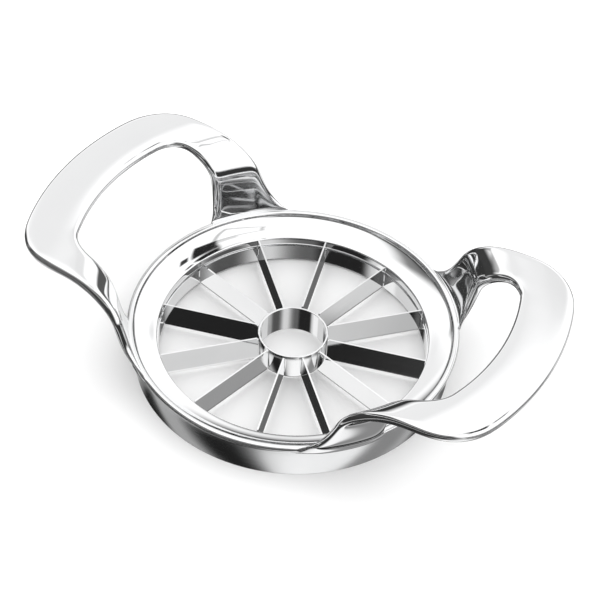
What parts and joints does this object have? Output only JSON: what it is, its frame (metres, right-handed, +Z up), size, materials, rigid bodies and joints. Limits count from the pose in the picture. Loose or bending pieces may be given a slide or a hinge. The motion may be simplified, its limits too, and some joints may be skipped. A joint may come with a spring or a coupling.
{
  "type": "fruit slicer",
  "caption": "Round push-down fruit slicer: a polished rim with looped handles over a steel skirt, radial blades and a core ring.",
  "frame": {"origin": "on the slicer's axis, in the plane of the skirt's foot that it stands on", "axes": "+X along the two handles, +Z up out of the fruit's side, +Y across the handles"},
  "size_m": [0.1988, 0.1222, 0.0479],
  "materials": {
    "frame_chrome": "mirror polished",
    "skirt_steel": "satin",
    "ring_steel": "fine satin",
    "core_steel": "polished",
    "blade_steel": "polished"
  },
  "bodies": {
    "root": {"frame_casting": "frame_chrome", "outer_skirt": "skirt_steel", "blade_ring": "ring_steel", "core_ring": "core_steel", "blade_01": "blade_steel", "blade_02": "blade_steel", "blade_03": "blade_steel", "blade_04": "blade_steel", "blade_05": "blade_steel", "blade_06": "blade_steel", "blade_07": "blade_steel", "blade_08": "blade_steel", "blade_09": "blade_steel", "blade_10": "blade_steel", "blade_11": "blade_steel", "blade_12": "blade_steel"}
  },
  "joints": []
}
